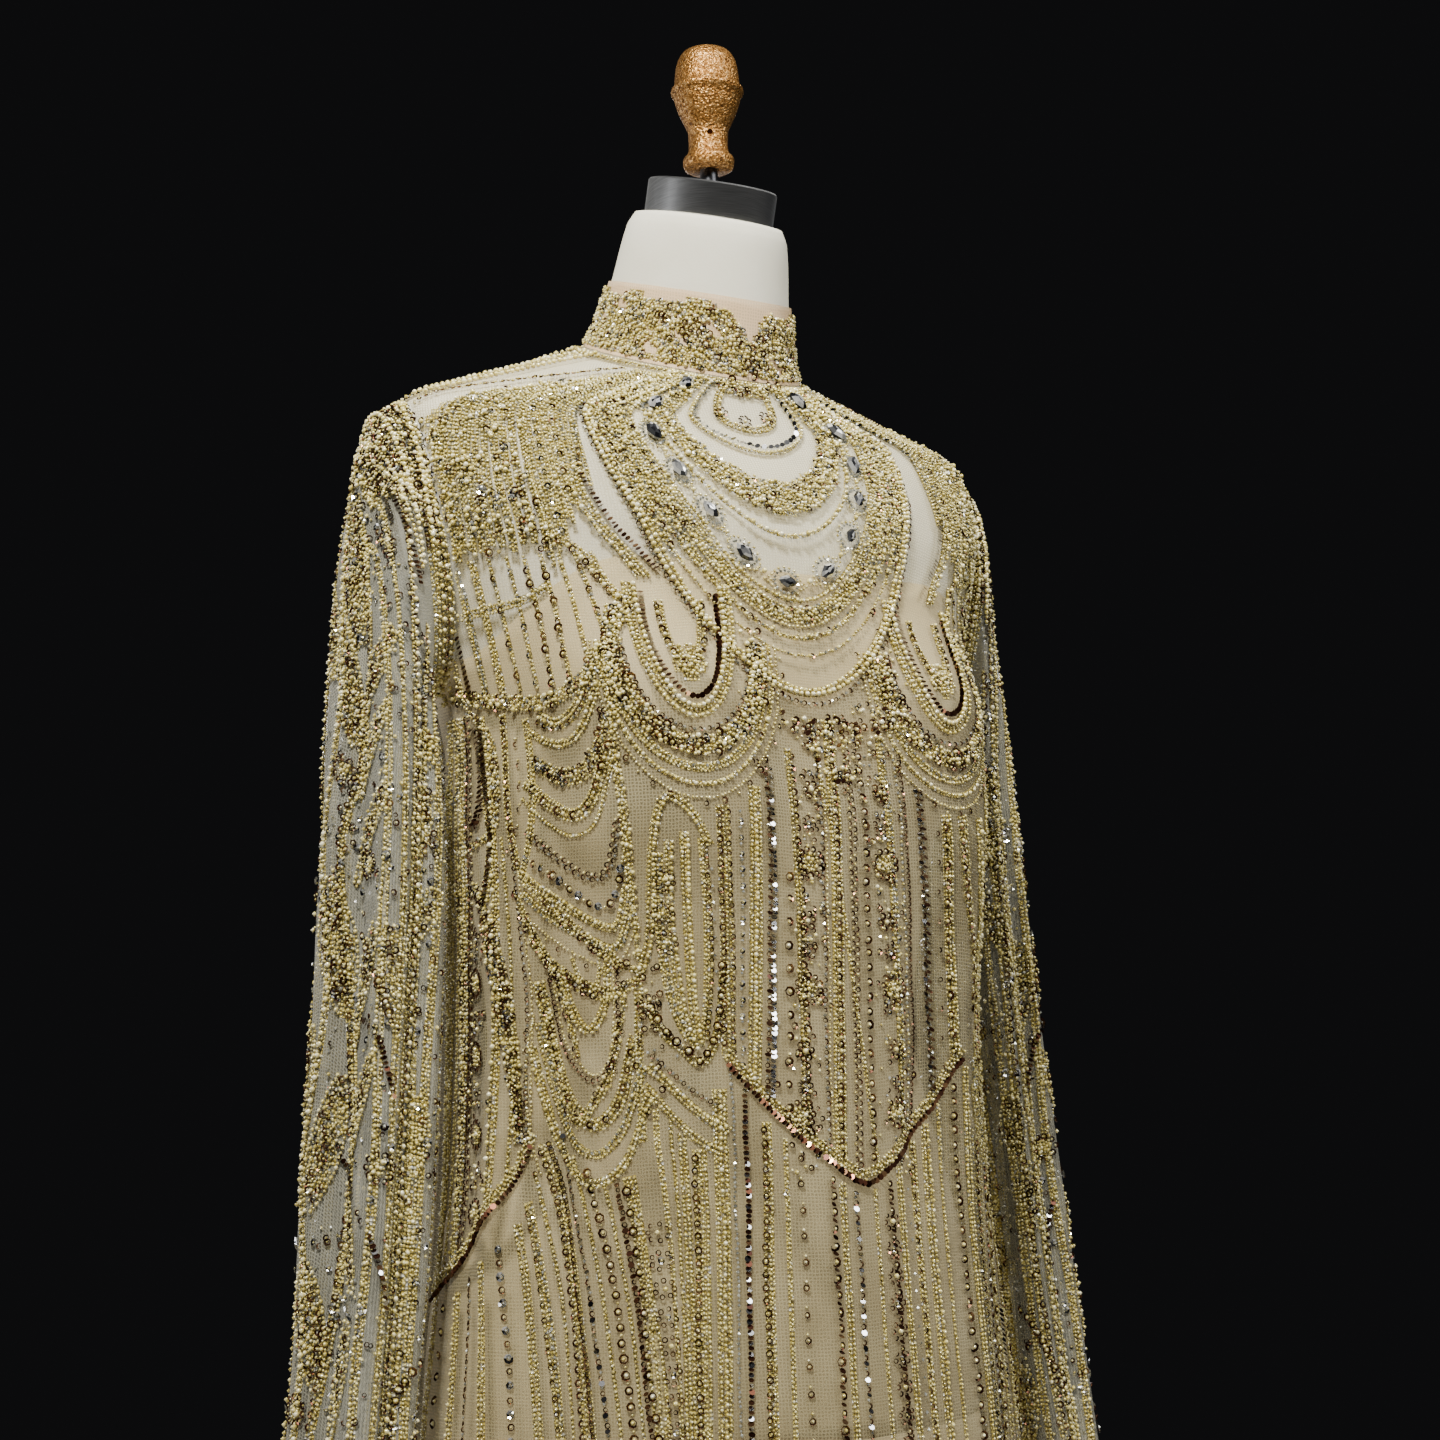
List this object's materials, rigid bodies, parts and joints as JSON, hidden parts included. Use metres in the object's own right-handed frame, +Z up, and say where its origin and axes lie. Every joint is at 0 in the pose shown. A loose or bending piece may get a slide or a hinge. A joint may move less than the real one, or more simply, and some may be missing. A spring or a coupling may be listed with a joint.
{
  "type": "beaded kaftan gown on dress form",
  "caption": "Floor-length beaded net gown with long sleeves and a stand collar over a strapless lining, on a limbless dress form with a turned finial and a round base.",
  "frame": {"origin": "centre of the stand base's underside, on the floor", "axes": "+Z up, the gown faces -Y, the wearer's left is +X"},
  "size_m": [0.5671, 0.5151, 1.598],
  "materials": {
    "beaded_net": "sheer net with pearl, seed bead, sequin and crystal work",
    "lining": "matt nude jersey",
    "form_cover": "matt off-white",
    "steel": "brushed",
    "dark_steel": "dark, satin",
    "gilt": "hammered antique gold paint",
    "pearl": "pearl lustre"
  },
  "bodies": {
    "root": {"gown_front": "beaded_net", "gown_back_left": "beaded_net", "gown_back_right": "beaded_net", "collar": "beaded_net", "sleeve_left": "beaded_net", "sleeve_right": "beaded_net", "lining_body_front": "lining", "lining_body_back": "lining", "lining_skirt_front": "lining", "lining_skirt_back": "lining", "form_torso": "form_cover", "neck_cap": "steel", "form_socket": "steel", "stand_pole": "steel", "stand_base": "steel", "finial_spindle": "dark_steel", "finial": "gilt", "nape_button_1": "pearl", "nape_button_2": "pearl", "nape_button_3": "pearl"}
  },
  "joints": []
}
